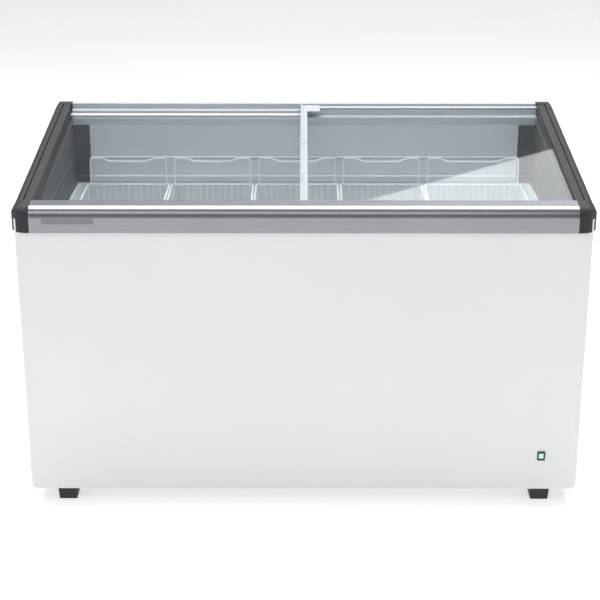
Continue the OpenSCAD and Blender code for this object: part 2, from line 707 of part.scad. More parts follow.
// a U-shaped strip round one long edge of a pane; side is -1 at the front and 1 at the rear
module strip(x0, x1, y, w, side, wide) {
  g = w + lid_air;
  sloped() translate([0, sl(y, g), g]) rotate([90, 0, 90]) translate([0, 0, x0])
    linear_extrude(height = x1 - x0) difference() {
      translate([side > 0 ? -wide : 0, 0]) square([wide, runner_h]);
      translate([side > 0 ? -wide - 1 : 3, 1.5]) square([wide - 2, glass_t]);
    }
}

module lower_glass() color([0.7, 0.8, 0.85, 0.35])
  pane(-x_stop + 1.5, 5, y_dn_f + 4.3, y_dn_r - 4.3, w_dn + lid_air + 1.5);

module lower_runners() color([0.8, 0.81, 0.82]) {
  strip(-x_stop + 1, 8, y_dn_f + 1, w_dn, -1, 14);
  strip(-x_stop + 1, 8, y_dn_r - 1, w_dn, 1, 17);
}

module end_strip(x0, x1, y0, y1, w, side) {
  g = w + lid_air;
  difference() {
    sloped() translate([x0, sl(y0, g), g]) cube([x1 - x0, sl(y1, g) - sl(y0, g), runner_h]);
    sloped() translate([side > 0 ? x0 - 1 : x0 + 3, sl(y0, g) - 5, g + 1.5])
      cube([x1 - x0 - 2, far, glass_t]);
  }
}

module lower_end_strip() color([0.8, 0.81, 0.82]) {
  end_strip(-6, 8, y_dn_f + 15.1, y_dn_r - 18.1, w_dn, 1);
}

module upper_glass() color([0.7, 0.8, 0.85, 0.35])
  pane(-grip_w / 2 + 3.2, x_stop - 1.5, y_ledge + 4.3, y_crown - 4.3, w_up + lid_air + 1.5);

module upper_runners() color([0.84, 0.85, 0.86]) {
  strip(-grip_w / 2, x_stop - 1, y_ledge + 1, w_up, -1, 12);
  strip(-grip_w / 2, x_stop - 1, y_crown - 1, w_up, 1, 12);
}

module grip_bar() color([0.86, 0.87, 0.88]) {
  end_strip(-grip_w / 2, grip_w / 2, y_ledge + 13.1, y_crown - 13.1, w_up, -1);
  g = w_up + lid_air + runner_h;
  long = sl(y_crown - 50, g) - sl(y_ledge + 4, g);
  sloped() translate([-grip_w / 2, sl(y_ledge + 4, g), g]) cube([grip_w, long, 4]);
  sloped() translate([-grip_w / 2, sl(y_ledge + 4, g), g + 4])
    rotate([90, 0, 90]) linear_extrude(height = 4)
      polygon([[0, 0], [long, 0], [long - 4, 3], [4, 3]]);
}

module corner_plate() color([0.82, 0.83, 0.84]) {
  g = w_up + lid_air + runner_h;
  sloped() translate([-grip_w / 2, sl(y_crown - 49, g), g]) cube([49.5, 46, 3]);
  sloped() translate([-grip_w / 2, sl(y_crown - 49, g), g + 3]) cube([4, 46, 3]);
}

module lid_brush() color([0.2, 0.2, 0.2]) {
  g = w_up + lid_air;
  sloped() translate([-grip_w / 2 + 1, sl(y_ledge + 20, g), g - 5.6])
    cube([4, sl(y_crown - 22, g) - sl(y_ledge + 20, g), 5.6]);
}

// ---------- baskets ----------
module wire_ring(hx, hy, d, r) {
  for (q = [[hx - r, hy - r, 0], [-hx + r, hy - r, 90], [-hx + r, -hy + r, 180], [hx - r, -hy + r, 270]])
    translate([q[0], q[1], 0]) rotate([0, 0, q[2]]) rotate_extrude(angle = 90, $fn = 48)
      translate([r, 0]) circle(d = d, $fn = 24);
  for (s = [-1, 1]) translate([-hx + r, s * hy, 0]) rotate([0, 90, 0])
    cylinder(d = d, h = 2 * (hx - r), $fn = 24);
  for (s = [-1, 1]) translate([s * hx, hy - r, 0]) rotate([90, 0, 0])
    cylinder(d = d, h = 2 * (hy - r), $fn = 24);
}

// three wire rings, upright wires welded inside them, and a floor of long wires with cross wires on top
module basket(n) {
  w = basket_wide(n);
  low = n < 5 ? basket_low : basket_low5;
  hx = w / 2 - rim_wire / 2;
  hy = basket_d / 2 - rim_wire / 2;
  weld = 0.4;
  lap = mesh_wire - weld;
  in_x = hx - rim_wire / 2 - mesh_wire / 2 + weld;
  in_y = hy - rim_wire / 2 - mesh_wire / 2 + weld;
  top = basket_rim_z - rim_wire / 2;
  count = floor((w - 30) / wire_pitch / 2);
  cross = 4;
  cross_pitch = (basket_d - 60) / (2 * cross);
  floor_z = low + mesh_wire / 2;
  foot = low + 0.6;
  color([0.92, 0.93, 0.94]) translate([basket_mid(n), (basket_f + basket_b) / 2, 0]) {
    translate([0, 0, top]) wire_ring(hx, hy, rim_wire, basket_r);
    for (z = [floor_z, (top + low) / 2]) translate([0, 0, z])
      wire_ring(in_x + lap, in_y + lap, mesh_wire, 6);
    for (s = [-1, 1]) for (k = [-count : count]) translate([k * wire_pitch, s * in_y, foot])
      cylinder(d = mesh_wire, h = top - foot, $fn = 24);
    for (s = [-1, 1]) for (k = [-cross : cross]) translate([s * in_x, k * cross_pitch, foot])
      cylinder(d = mesh_wire, h = top - foot, $fn = 24);
    for (k = [-count : count - 1]) translate([(k + 0.5) * wire_pitch, in_y + lap, floor_z + lap])
      rotate([90, 0, 0]) cylinder(d = mesh_wire, h = 2 * (in_y + lap), $fn = 24);
    for (k = [-cross : cross - 1]) translate([-in_x + 3, (k + 0.5) * cross_pitch, floor_z + 2 * lap])
      rotate([0, 90, 0]) cylinder(d = mesh_wire, h = 2 * (in_x - 3), $fn = 24);
  }
}

module basket_1() basket(1);
module basket_2() basket(2);
module basket_3() basket(3);
module basket_4() basket(4);
module basket_5() basket(5);

// carrying handle drawn upright in local x and z, with its pivot on the local x axis
module bail_shape(w) {
  eye_wire = bail_wire - 0.5;
  e = rim_wire / 2 + eye_air + eye_wire / 2;
  lx = w / 2 - rim_wire - 1.1 - mesh_wire / 2 - 0.3 - bail_wire / 2;
  dip = 9;
  r = 7;
  flat = 23;
  ramp = 22;
  d = bail_wire;
  h = bail_h;
  run = lx - r - flat - ramp;
  for (s = [-1, 1]) {
    translate([s * lx, 0, 0]) rotate([0, 90, 0]) rotate_extrude($fn = 48)
      translate([e, 0]) circle(d = eye_wire, $fn = 32);
    translate([s * lx, 0, e]) cylinder(d = d, h = h - e - r - d / 2, $fn = 32);
    translate([s * (lx - r), 0, h - r - d / 2]) rotate([90, 0, 0]) rotate([0, 0, s > 0 ? 0 : 90])
      rotate_extrude(angle = 90, $fn = 48) translate([r, 0]) circle(d = d, $fn = 32);
    translate([s * (lx - r), 0, h - d / 2]) rotate([0, -90 * s, 0]) cylinder(d = d, h = flat, $fn = 32);
    translate([s * (lx - r - flat), 0, h - d / 2]) rotate([90, 0, 0]) rotate([0, 0, 90])
      sphere(d = d + 0.4, $fn = 32);
    translate([s * (lx - r - flat), 0, h - d / 2])
      rotate([0, -s * (90 + atan(dip / ramp)), 0])
        cylinder(d = d, h = sqrt(ramp * ramp + dip * dip), $fn = 32);
    translate([s * run, 0, h - d / 2 - dip]) rotate([90, 0, 0]) rotate([0, 0, -90])
      sphere(d = d + 0.4, $fn = 32);
  }
  translate([-run, 0, h - d / 2 - dip]) rotate([0, 90, 0]) cylinder(d = d, h = 2 * run, $fn = 32);
}

module bail(n, rear) {
  y = rear ? basket_b - rim_wire / 2 : basket_f + rim_wire / 2;
  z = basket_rim_z - rim_wire / 2;
  color([0.92, 0.93, 0.94]) translate([basket_mid(n), y, z])
    rotate([rear ? -bail_lean : bail_hang - 180, 0, 0]) bail_shape(basket_wide(n));
}

module rear_bail_1() bail(1, true);
module rear_bail_2() bail(2, true);
module rear_bail_3() bail(3, true);
module rear_bail_4() bail(4, true);
module rear_bail_5() bail(5, true);
module front_bail_1() bail(1, false);
module front_bail_2() bail(2, false);
module front_bail_3() bail(3, false);
module front_bail_4() bail(4, false);
module front_bail_5() bail(5, false);

outer_casing();
base_plate();
foam_insulation();
inner_liner();
evaporator_coil();
front_profile();
rear_profile();
side_rail_left();
side_rail_right();
cap_front_left();
cap_front_right();
cap_rear_left();
cap_rear_right();
inner_cover_left();
inner_cover_right();
rear_inner_panel();
front_inner_panel();
badge_plate();
lamp_bezel();
lamp_lens();
feet();
drain_spout();
drain_plug();
compressor();
compressor_grommets();
terminal_cover();
condenser();
fan_bracket();
fan_motor();
fan_blades();
filter_drier();
refrigerant_pipes();
thermostat_body();
thermostat_knob();
side_grille();
grille_screws();
cable_gland();
lower_glass();
lower_runners();
lower_end_strip();
upper_glass();
upper_runners();
grip_bar();
corner_plate();
lid_brush();
basket_1();
basket_2();
basket_3();
basket_4();
basket_5();
rear_bail_1();
rear_bail_2();
rear_bail_3();
rear_bail_4();
rear_bail_5();
front_bail_1();
front_bail_2();
front_bail_3();
front_bail_4();
front_bail_5();
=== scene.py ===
# %% [markdown]
# # A display chest freezer, dressed over its CAD frame
# The frame brings every hard piece at its true size. This lesson gives each piece its finish, adds the
# small pieces that only matter to the eye, and lights the whole like a catalogue studio. Everything is in
# metres, the customer stands on the -Y side, and the floor is at zero.

# %% Load the frame
import json
import math

import bmesh
import bpy
from mathutils import Matrix, Vector


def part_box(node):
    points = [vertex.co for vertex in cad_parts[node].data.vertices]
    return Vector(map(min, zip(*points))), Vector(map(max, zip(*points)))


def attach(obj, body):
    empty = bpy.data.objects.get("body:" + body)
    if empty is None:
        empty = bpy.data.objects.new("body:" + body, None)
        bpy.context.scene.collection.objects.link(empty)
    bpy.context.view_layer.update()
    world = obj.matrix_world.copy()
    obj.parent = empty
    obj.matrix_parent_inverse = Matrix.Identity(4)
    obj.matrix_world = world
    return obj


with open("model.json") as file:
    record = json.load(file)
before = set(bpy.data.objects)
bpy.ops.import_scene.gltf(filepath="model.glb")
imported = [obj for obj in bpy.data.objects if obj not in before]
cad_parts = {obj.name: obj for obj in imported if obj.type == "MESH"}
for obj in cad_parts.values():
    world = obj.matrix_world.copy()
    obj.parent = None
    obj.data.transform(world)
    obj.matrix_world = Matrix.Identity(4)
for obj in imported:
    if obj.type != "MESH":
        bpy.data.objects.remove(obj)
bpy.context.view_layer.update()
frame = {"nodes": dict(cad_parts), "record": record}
record = frame["record"]
slot_of = {part["node"]: part["material_slot"] for part in record["subparts"]}

# %% [markdown]
# ## The camera
# A catalogue view of a long cabinet is taken with a long lens from a little over eye height, looking down
# so that the lids and the baskets show. A long lens keeps the front nearly square. The camera is turned by
# a hair so that the cabinet stands a touch to the right of the middle. It could be aimed by a tracking
# constraint, but two plain angles are easier to read and to change.

# %% Camera
CAMERA_BACK = 3.494
CAMERA_HEIGHT = 1.673
LOOK_DOWN = math.radians(20.3)
TURN = math.radians(0.154)
LENS = 89.2

camera_data = bpy.data.cameras.new("studio_camera")
camera_data.lens = LENS
camera_data.sensor_width = 36.0
camera_data.clip_end = 60.0
camera = bpy.data.objects.new("studio_camera", camera_data)
bpy.context.collection.objects.link(camera)
camera.location = (0.0, -CAMERA_BACK, CAMERA_HEIGHT)
camera.rotation_euler = (math.pi / 2 - LOOK_DOWN, 0.0, TURN)
bpy.context.scene.camera = camera
print("camera at", tuple(round(v, 3) for v in camera.location))

# %% [markdown]
# ## Wiring helpers
# Materials here are small node trees. These helpers add a node, set its plain values and join sockets, so
# that each finish below reads as a short recipe. The alternative, drawing each tree by hand in the editor,
# can't be rerun.


# %% Helpers for node trees
def put(tree, kind, **plain):
    """Adds a node and sets its plain values: properties by name, and sockets through 'sockets'."""
    node = tree.nodes.new(kind)
    sockets = plain.pop("sockets", {})
    for name, value in plain.items():
        setattr(node, name, value)
    for socket, value in sockets.items():
        node.inputs[socket].default_value = value
    return node


def join(tree, source, target):
    tree.links.new(source, target)
    return target


def new_group(name, inputs, outputs):
    """A shader group with named sockets. Each entry is (name, kind, default)."""
    group = bpy.data.node_groups.new(name, "ShaderNodeTree")
    for label, kind, value in inputs:
        socket = group.interface.new_socket(name=label, in_out="INPUT", socket_type="NodeSocket" + kind)
        if value is not None:
            socket.default_value = value
    for label, kind in outputs:
        group.interface.new_socket(name=label, in_out="OUTPUT", socket_type="NodeSocket" + kind)
    start = put(group, "NodeGroupInput")
    end = put(group, "NodeGroupOutput")
    return group, start, end


def use(tree, group, **values):
    node = put(tree, "ShaderNodeGroup", node_tree=group)
    for name, value in values.items():
        node.inputs[name.replace("_", " ")].default_value = value
    return node


print("helpers ready")

# %% [markdown]
# ## Effect groups
# Five effects come back on many pieces: cloudy unevenness, a moulded grain, the pebbled skin of sprayed
# paint, the fine lines of brushed metal, and dust that settles on what faces up. Each is one group with its
# own inputs, built once. They give out only masks and heights, and each material decides what to do with
# them.


# %% Cloudy unevenness
def build_clouds():
    group, start, end = new_group(
        "clouds", [("Place", "Vector", None), ("Size", "Float", 6.0), ("Contrast", "Float", 1.0)],
        [("Mask", "Float")])
    noise = put(group, "ShaderNodeTexNoise", sockets={"Detail": 4.0, "Roughness": 0.55})
    join(group, start.outputs["Place"], noise.inputs["Vector"])
    join(group, start.outputs["Size"], noise.inputs["Scale"])
    centred = put(group, "ShaderNodeMath", operation="SUBTRACT", sockets={1: 0.5})
    join(group, noise.outputs["Fac"], centred.inputs[0])
    scaled = put(group, "ShaderNodeMath", operation="MULTIPLY_ADD", sockets={2: 0.5}, use_clamp=True)
    join(group, centred.outputs[0], scaled.inputs[0])
    join(group, start.outputs["Contrast"], scaled.inputs[1])
    join(group, scaled.outputs[0], end.inputs["Mask"])
    return group


clouds = build_clouds()
print(clouds.name)


# %% Moulded grain
def build_grain():
    group, start, end = new_group(
        "moulded_grain", [("Place", "Vector", None), ("Size", "Float", 900.0)],
        [("Height", "Float"), ("Speckle", "Float")])
    cells = put(group, "ShaderNodeTexVoronoi", feature="SMOOTH_F1", sockets={"Smoothness": 0.6})
    join(group, start.outputs["Place"], cells.inputs["Vector"])
    join(group, start.outputs["Size"], cells.inputs["Scale"])
    fine = put(group, "ShaderNodeTexNoise", sockets={"Detail": 3.0})
    double = put(group, "ShaderNodeMath", operation="MULTIPLY", sockets={1: 2.3})
    join(group, start.outputs["Size"], double.inputs[0])
    join(group, start.outputs["Place"], fine.inputs["Vector"])
    join(group, double.outputs[0], fine.inputs["Scale"])
    both = put(group, "ShaderNodeMath", operation="ADD")
    join(group, cells.outputs["Distance"], both.inputs[0])
    join(group, fine.outputs["Fac"], both.inputs[1])
    join(group, both.outputs[0], end.inputs["Height"])
    join(group, fine.outputs["Fac"], end.inputs["Speckle"])
    return group


moulded_grain = build_grain()
print(moulded_grain.name)


# %% Pebbled spray paint
def build_peel():
    group, start, end = new_group(
        "paint_peel", [("Place", "Vector", None), ("Size", "Float", 220.0)], [("Height", "Float")])
    wide = put(group, "ShaderNodeTexNoise", sockets={"Detail": 1.0, "Roughness": 0.4})
    join(group, start.outputs["Place"], wide.inputs["Vector"])
    join(group, start.outputs["Size"], wide.inputs["Scale"])
    tight = put(group, "ShaderNodeMapRange", interpolation_type="SMOOTHSTEP",
                sockets={"From Min": 0.3, "From Max": 0.7})
    join(group, wide.outputs["Fac"], tight.inputs["Value"])
    join(group, tight.outputs["Result"], end.inputs["Height"])
    return group


paint_peel = build_peel()
print(paint_peel.name)


# %% Brushed lines
def build_brushed():
    group, start, end = new_group(
        "brushed_lines", [("Place", "Vector", None), ("Stretch", "Vector", (3.0, 900.0, 900.0))],
        [("Lines", "Float")])
    scaled = put(group, "ShaderNodeVectorMath", operation="MULTIPLY")
    join(group, start.outputs["Place"], scaled.inputs[0])
    join(group, start.outputs["Stretch"], scaled.inputs[1])
    noise = put(group, "ShaderNodeTexNoise", sockets={"Scale": 1.0, "Detail": 5.0, "Roughness": 0.7})
    join(group, scaled.outputs[0], noise.inputs["Vector"])
    join(group, noise.outputs["Fac"], end.inputs["Lines"])
    return group


brushed_lines = build_brushed()
print(brushed_lines.name)


# %% Settled dust
def build_dust():
    group, start, end = new_group(
        "settled_dust", [("Place", "Vector", None), ("Amount", "Float", 0.3)], [("Mask", "Float")])
    facing = put(group, "ShaderNodeNewGeometry")
    split = put(group, "ShaderNodeSeparateXYZ")
    join(group, facing.outputs["Normal"], split.inputs[0])
    up = put(group, "ShaderNodeMapRange", interpolation_type="SMOOTHSTEP",
             sockets={"From Min": 0.55, "From Max": 1.0})
    join(group, split.outputs["Z"], up.inputs["Value"])
    patch = put(group, "ShaderNodeTexNoise", sockets={"Scale": 38.0, "Detail": 6.0, "Roughness": 0.65})
    join(group, start.outputs["Place"], patch.inputs["Vector"])
    both = put(group, "ShaderNodeMath", operation="MULTIPLY")
    join(group, up.outputs["Result"], both.inputs[0])
    join(group, patch.outputs["Fac"], both.inputs[1])
    amount = put(group, "ShaderNodeMath", operation="MULTIPLY", use_clamp=True)
    join(group, both.outputs[0], amount.inputs[0])
    join(group, start.outputs["Amount"], amount.inputs[1])
    join(group, amount.outputs[0], end.inputs["Mask"])
    return group


settled_dust = build_dust()
print(settled_dust.name)

# %% [markdown]
# ## A recipe for solid finishes
# Paint, plastic and metal differ in a few numbers: two close shades, a roughness range, a surface relief
# and how much dust they keep. One function turns those numbers into a material, so every finish is
# described the same way. The shades are blended by the clouds, the relief drives a Bump node, and dust goes
# over both.

# %% The recipe
DUST_GREY = (0.42, 0.41, 0.39, 1.0)


def shade(r, g=None, b=None):
    """A linear colour from display values between 0 and 255."""
    values = (r, r if g is None else g, r if b is None else b)
    linear = [((v / 255 + 0.055) / 1.055) ** 2.4 if v > 10 else v / 255 / 12.92 for v in values]
    return (*linear, 1.0)


def blend_colours(tree, mask, low, high):
    """A colour between low and high; either may be a plain colour or a socket."""
    mix = put(tree, "ShaderNodeMix", data_type="RGBA")
    join(tree, mask, mix.inputs["Factor"])
    for socket, value in ((mix.inputs[6], low), (mix.inputs[7], high)):
        if isinstance(value, tuple):
            socket.default_value = value
        else:
            join(tree, value, socket)
    return mix.outputs[2]


def solid_finish(name, low, high, rough=(0.35, 0.45), metal=0.0, coat=0.0, coat_rough=0.1, relief="grain",
                 size=900.0, depth=0.00002, dust=0.0, cloud=7.0, lines=(3.0, 900.0, 900.0), sheen=0.0,
                 gloss=0.5):
    material = bpy.data.materials.new(name)
    material.use_nodes = True
    tree = material.node_tree
    skin = tree.nodes["Principled BSDF"]
    skin.inputs["Metallic"].default_value = metal
    skin.inputs["Coat Weight"].default_value = coat
    skin.inputs["Coat Roughness"].default_value = coat_rough
    skin.inputs["Sheen Weight"].default_value = sheen
    skin.inputs["Specular IOR Level"].default_value = gloss
    place = put(tree, "ShaderNodeTexCoord").outputs["Object"]
    cloudy = use(tree, clouds, Size=cloud, Contrast=1.6)
    join(tree, place, cloudy.inputs["Place"])
    mask = cloudy.outputs["Mask"]
    colour = blend_colours(tree, mask, low, high)
    height = None
    if relief == "grain":
        grain = use(tree, moulded_grain, Size=size)
        join(tree, place, grain.inputs["Place"])
        height = grain.outputs["Height"]
        darker = tuple(v * 0.86 for v in low[:3]) + (1.0,)
        speck = put(tree, "ShaderNodeMapRange", sockets={"From Min": 0.35, "From Max": 0.75, "To Max": 0.5})
        join(tree, grain.outputs["Speckle"], speck.inputs["Value"])
        colour = blend_colours(tree, speck.outputs["Result"], colour, darker)
    elif relief == "peel":
        peel = use(tree, paint_peel, Size=size)
        join(tree, place, peel.inputs["Place"])
        height = peel.outputs["Height"]
    elif relief == "lines":
        brushed = use(tree, brushed_lines)
        brushed.inputs["Stretch"].default_value = lines
        join(tree, place, brushed.inputs["Place"])
        height = brushed.outputs["Lines"]
        mask = height
        darker = tuple(v * 0.9 for v in low[:3]) + (1.0,)
        streak = put(tree, "ShaderNodeMapRange", sockets={"From Min": 0.3, "From Max": 0.7, "To Max": 0.6})
        join(tree, height, streak.inputs["Value"])
        colour = blend_colours(tree, streak.outputs["Result"], colour, darker)
    roughness = put(tree, "ShaderNodeMapRange",
                    sockets={"From Min": 0.25, "From Max": 0.75, "To Min": rough[0], "To Max": rough[1]})
    join(tree, mask, roughness.inputs["Value"])
    rough_out = roughness.outputs["Result"]
    if dust > 0:
        settled = use(tree, settled_dust, Amount=dust)
        join(tree, place, settled.inputs["Place"])
        colour = blend_colours(tree, settled.outputs["Mask"], colour, DUST_GREY)
        duller = put(tree, "ShaderNodeMath", operation="ADD", use_clamp=True)
        join(tree, rough_out, duller.inputs[0])
        join(tree, settled.outputs["Mask"], duller.inputs[1])
        rough_out = duller.outputs[0]
    join(tree, colour, skin.inputs["Base Color"])
    join(tree, rough_out, skin.inputs["Roughness"])
    if height is not None:
        bump = put(tree, "ShaderNodeBump", sockets={"Strength": 1.0, "Distance": depth})
        join(tree, height, bump.inputs["Height"])
        join(tree, bump.outputs["Normal"], skin.inputs["Normal"])
    return material


print("recipe ready")

# %% [markdown]
# ## The finishes
# The body is powder coated: white, half gloss, with a faint pebbled skin. The rim's mouldings are dark grey
# with a fine grain. The profiles are satin anodised metal drawn lengthways, so their lines run along the
# cabinet. Baskets are wire dipped in white plastic. Inside the machine space stand black enamel, galvanised
# sheet and copper, with more dust than anywhere else.

# %% Finishes of the body, rim and interior
finishes = {
    "body_paint": solid_finish("body_paint", shade(228), shade(233, 233, 234), rough=(0.34, 0.42), coat=0.25,
                               coat_rough=0.25, relief="peel", size=260.0, depth=0.00004, dust=0.05, cloud=3.0),
    "rim_plastic": solid_finish("rim_plastic", shade(50, 51, 52), shade(57, 58, 59), rough=(0.54, 0.64),
                                size=1100.0, depth=0.00003, dust=0.02, gloss=0.24),
    "dark_cover": solid_finish("dark_cover", shade(56, 59, 61), shade(63, 66, 68), rough=(0.45, 0.55),
                               size=1100.0, depth=0.00003, dust=0.03, gloss=0.4),
    "inner_panel": solid_finish("inner_panel", shade(222, 227, 230), shade(228, 233, 236), rough=(0.35, 0.45),
                                relief="peel", size=180.0, depth=0.00003),
    "liner_paint": solid_finish("liner_paint", shade(228, 232, 234), shade(233, 237, 239), rough=(0.3, 0.42),
                                coat=0.2, relief="peel", size=120.0, depth=0.00005),
    # rim_aluminium: base darkened to a mid grey, painted shade standing in for the darker surroundings the front
    # profile mirrors.
    "rim_aluminium": solid_finish("rim_aluminium", shade(146, 147, 152), shade(153, 154, 159), metal=1.0,
                                  rough=(0.24, 0.3), relief="lines", depth=0.000006, dust=0.04),
    "lid_trim": solid_finish("lid_trim", shade(218, 219, 222), shade(224, 225, 228), metal=0.6,
                             rough=(0.3, 0.4), relief="lines", depth=0.000006, dust=0.04),
    "grip_plastic": solid_finish("grip_plastic", shade(178, 183, 186), shade(185, 190, 193),
                                 rough=(0.25, 0.35), coat=0.3, size=1400.0, depth=0.00001),
    "white_wire": solid_finish("white_wire", shade(247, 248, 249), shade(251, 252, 252), rough=(0.22, 0.34),
                               coat=0.5, relief="peel", size=500.0, depth=0.00006),
    "badge": solid_finish("badge", shade(128, 129, 132), shade(136, 137, 140), metal=0.7, rough=(0.35, 0.45),
                          relief="lines", depth=0.000006),
}
# A lighter, less metallic copy of the same aluminium for the rear profile: painted light, so it reads brighter
# than the front profile.
finishes["rear_aluminium_painted_light"] = solid_finish(
    "rear_aluminium_painted_light", shade(204, 209, 215), shade(210, 215, 221), metal=0.35, rough=(0.3, 0.38), relief="lines",
    depth=0.000006, dust=0.04)
print("finishes", len(finishes))

# %% Finishes of the fittings and the machine space
finishes.update({
    "black_plastic": solid_finish("black_plastic", shade(30), shade(36), rough=(0.35, 0.5), size=1000.0,
                                  depth=0.00003, dust=0.2),
    "foot_plastic": solid_finish("foot_plastic", shade(42), shade(50), rough=(0.45, 0.6), size=700.0,
                                 depth=0.00005, dust=0.2),
    "light_plastic": solid_finish("light_plastic", shade(226, 227, 228), shade(232), rough=(0.3, 0.4)),
    "plain_steel": solid_finish("plain_steel", shade(150, 152, 155), shade(172, 174, 177), metal=1.0,
                                rough=(0.35, 0.55), relief="lines", lines=(60.0, 90.0, 60.0), depth=0.00001,
                                dust=0.5, cloud=30.0),
    "motor_steel": solid_finish("motor_steel", shade(110), shade(124), metal=1.0, rough=(0.3, 0.5),
                                relief="lines", lines=(200.0, 8.0, 200.0), depth=0.00001, dust=0.4),
    "screw_steel": solid_finish("screw_steel", shade(190), shade(204), metal=1.0, rough=(0.2, 0.35),
                                relief="lines", lines=(900.0, 300.0, 900.0), depth=0.000004),
    "copper": solid_finish("copper", shade(178, 106, 70), shade(196, 128, 90), metal=1.0, rough=(0.25, 0.5),
                           relief="grain", size=260.0, depth=0.00003, dust=0.3, cloud=40.0),
    "black_enamel": solid_finish("black_enamel", shade(22), shade(28), rough=(0.2, 0.32), coat=0.6,
                                 relief="peel", size=300.0, depth=0.00006, dust=0.5),
    "rubber": solid_finish("rubber", shade(28), shade(36), rough=(0.6, 0.75), size=600.0, depth=0.00006,
                           dust=0.3),
    "fan_plastic": solid_finish("fan_plastic", shade(172), shade(182), rough=(0.35, 0.45), dust=0.3),
    "foam": solid_finish("foam", shade(222, 206, 160), shade(232, 218, 176), rough=(0.8, 0.95), size=500.0,
                         depth=0.0004),
    "brush": solid_finish("brush", shade(34), shade(44), rough=(0.7, 0.9), relief="lines",
                          lines=(900.0, 900.0, 30.0), depth=0.0003, sheen=0.3),
})
print("finishes", len(finishes))

# %% [markdown]
# ## The lamp
# The indicator is a small pale green lens in a black bezel. It's lit from behind, weakly, so it has a
# little light of its own. A fine ribbing across the lens breaks up the light as a real moulded lens does.


# %% Lamp lens
def lamp_finish():
    material = solid_finish("lamp_green", shade(150, 218, 186), shade(170, 228, 198), rough=(0.15, 0.25),
                            coat=0.6, relief="lines", lines=(40.0, 40.0, 1600.0), depth=0.0001)
    tree = material.node_tree
    skin = tree.nodes["Principled BSDF"]
    glow = use(tree, clouds, Size=90.0, Contrast=2.0)
    join(tree, put(tree, "ShaderNodeTexCoord").outputs["Object"], glow.inputs["Place"])
    join(tree, blend_colours(tree, glow.outputs["Mask"], shade(96, 190, 140), shade(150, 226, 186)),
         skin.inputs["Emission Color"])
    skin.inputs["Emission Strength"].default_value = 0.75
    return material


finishes["lamp_green"] = lamp_finish()
print("lamp ready")

# %% [markdown]
# ## The glass
# Each lid is one pane of toughened glass. Real light passes through it and lights the baskets, but a path
# tracer finds that light slowly. So for shadow rays and for light bounced by dull surfaces the pane is
# simply clear, and the camera still sees true glass with its reflections. Faint smears make the reflections
# uneven.


# %% Lid glass
def lid_glass():
    material = bpy.data.materials.new("lid_glass")
    material.use_nodes = True
    tree = material.node_tree
    skin = tree.nodes["Principled BSDF"]
    out = tree.nodes["Material Output"]
    skin.inputs["Transmission Weight"].default_value = 1.0
    skin.inputs["IOR"].default_value = 1.5
    place = put(tree, "ShaderNodeTexCoord").outputs["Object"]
    smear = use(tree, clouds, Size=5.0, Contrast=1.5)
    join(tree, place, smear.inputs["Place"])
    tint = blend_colours(tree, smear.outputs["Mask"], (0.93, 0.965, 0.97, 1.0), (0.95, 0.98, 0.98, 1.0))
    join(tree, tint, skin.inputs["Base Color"])
    rough = put(tree, "ShaderNodeMapRange", sockets={"To Min": 0.0, "To Max": 0.03})
    join(tree, smear.outputs["Mask"], rough.inputs["Value"])
    join(tree, rough.outputs["Result"], skin.inputs["Roughness"])
    clear = put(tree, "ShaderNodeBsdfTransparent", sockets={"Color": (0.94, 0.96, 0.96, 1.0)})
    path = put(tree, "ShaderNodeLightPath")
    either = put(tree, "ShaderNodeMath", operation="MAXIMUM")
    join(tree, path.outputs["Is Shadow Ray"], either.inputs[0])
    join(tree, path.outputs["Is Diffuse Ray"], either.inputs[1])
    choose = put(tree, "ShaderNodeMixShader")
    join(tree, either.outputs[0], choose.inputs[0])
    join(tree, skin.outputs[0], choose.inputs[1])
    join(tree, clear.outputs[0], choose.inputs[2])
    join(tree, choose.outputs[0], out.inputs["Surface"])
    return material


finishes["lid_glass"] = lid_glass()
print("glass ready")

# %% [markdown]
# ## Dressing the frame
# Every node of the frame names its material slot in the record. A loop over that table gives each node its
# finish, which is safer than naming sixty nodes by hand: a node without a finish stops the script here.

# %% Give every node its finish
for node_name, node in frame["nodes"].items():
    node.data.materials.clear()
    node.data.materials.append(finishes[slot_of[node_name]])
# The rear profile takes the lighter copy of the aluminium, painted light.
rear_profile = frame["nodes"]["rear_profile"]
rear_profile.data.materials[0] = finishes["rear_aluminium_painted_light"]
print("dressed", len(frame["nodes"]))

# %% [markdown]
# ## Small pieces
# The frame holds what matters for size and motion. What only matters to the eye is added here: wires are
# curves with a round section, and plates, rivets and marks are boxes or discs whose edges are bevelled.
# Each piece is placed from the box of the node it sits on, so it follows if that node changes, and it rides
# on that body.

# %% Makers for wires and plates
def wire_piece(name, points, radius, finish, body="cabinet", closed=False):
    """A round wire through the points, smoothed, with flat ends filled."""
    curve = bpy.data.curves.new(name, "CURVE")
    curve.dimensions = "3D"
    curve.bevel_depth = radius
    curve.bevel_resolution = 3
    curve.use_fill_caps = True
    path = curve.splines.new("NURBS")
    path.points.add(len(points) - 1)
    for slot, place in zip(path.points, points):
        slot.co = (*place, 1.0)
    path.order_u = 3
    path.use_cyclic_u = closed
    path.use_endpoint_u = not closed
    path.resolution_u = 8
    piece = bpy.data.objects.new(name, curve)
    bpy.context.collection.objects.link(piece)
    curve.materials.append(finishes[finish])
    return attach(piece, body)


def plates_piece(name, plates, bevel, finish, body="cabinet"):
    """One mesh of bevelled boxes; each plate is (centre, size, turn about X)."""
    build = bmesh.new()
    for centre, size, turn in plates:
        place = Matrix.Translation(centre) @ Matrix.Rotation(turn, 4, "X") @ Matrix.Diagonal((*size, 1.0))
        bmesh.ops.create_cube(build, size=1.0, matrix=place)
    bmesh.ops.bevel(build, geom=build.edges[:], offset=bevel, segments=2, profile=0.6, affect="EDGES")
    return mesh_piece(name, build, finish, body)


def mesh_piece(name, build, finish, body="cabinet"):
    mesh = bpy.data.meshes.new(name)
    build.to_mesh(mesh)
    build.free()
    mesh.materials.append(finishes[finish])
    piece = bpy.data.objects.new(name, mesh)
    bpy.context.collection.objects.link(piece)
    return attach(piece, body)


